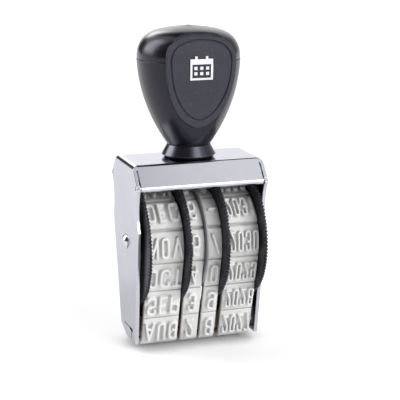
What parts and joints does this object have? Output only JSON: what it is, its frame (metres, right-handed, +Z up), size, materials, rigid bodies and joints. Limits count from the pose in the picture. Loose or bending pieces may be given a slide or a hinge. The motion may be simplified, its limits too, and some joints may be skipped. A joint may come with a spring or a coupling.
{
  "type": "rotary date stamp",
  "caption": "Hand-held band date stamp: thumbwheels turn endless type bands in a bent metal frame, under a bulb-shaped grip.",
  "frame": {"origin": "centre of the printing face, on the surface that the stamp stands on", "axes": "+Z up through the handle, +X along the axle to the right as the print is read, -Y the front with the handle's panel"},
  "size_m": [0.042, 0.038, 0.0962],
  "materials": {
    "nickel_plate": "polished nickel plate on bent sheet steel",
    "rivet_steel": "drawn rod, riveted ends",
    "spring_steel": "spring steel",
    "grey_disc": "moulded, satin",
    "bridge_steel": "phosphated folded sheet",
    "cushion_rubber": "soft rubber strip",
    "band_rubber": "pale moulded rubber, matt",
    "wheel_black": "moulded, satin",
    "collar_black": "turned, gloss",
    "handle_black": "moulded, soft gloss",
    "cap_black": "moulded, soft gloss",
    "panel_slate": "moulded, fine matt grain",
    "mark_white": "pad-printed, thin",
    "zinc_steel": "zinc plated",
    "insert_brass": "turned, knurled"
  },
  "bodies": {
    "stamp": {"frame": "nickel_plate", "axle": "rivet_steel", "divider_disc": "grey_disc", "spring_washer": "spring_steel", "shim_washer": "spring_steel", "print_bridge": "bridge_steel", "bridge_cushion": "cushion_rubber", "neck_collar": "collar_black", "handle_body": "handle_black", "handle_cap": "cap_black", "handle_panel": "panel_slate", "handle_mark": "mark_white", "handle_screw": "zinc_steel", "screw_washer": "zinc_steel", "handle_insert": "insert_brass", "band_month": "band_rubber", "band_tens": "band_rubber", "band_units": "band_rubber", "band_year": "band_rubber"},
    "month_wheel": {"thumbwheel_month": "wheel_black"},
    "tens_wheel": {"thumbwheel_tens": "wheel_black"},
    "units_wheel": {"thumbwheel_units": "wheel_black"},
    "year_wheel": {"thumbwheel_year": "wheel_black"}
  },
  "joints": [
    {"name": "month_turn", "type": "hinge", "parent": "stamp", "child": "month_wheel", "pos_m": [0, 0, 0.0325], "axis": [1, 0, 0], "continuous": true},
    {"name": "tens_turn", "type": "hinge", "parent": "stamp", "child": "tens_wheel", "pos_m": [0, 0, 0.0325], "axis": [1, 0, 0], "continuous": true},
    {"name": "units_turn", "type": "hinge", "parent": "stamp", "child": "units_wheel", "pos_m": [0, 0, 0.0325], "axis": [1, 0, 0], "continuous": true},
    {"name": "year_turn", "type": "hinge", "parent": "stamp", "child": "year_wheel", "pos_m": [0, 0, 0.0325], "axis": [1, 0, 0], "continuous": true}
  ]
}
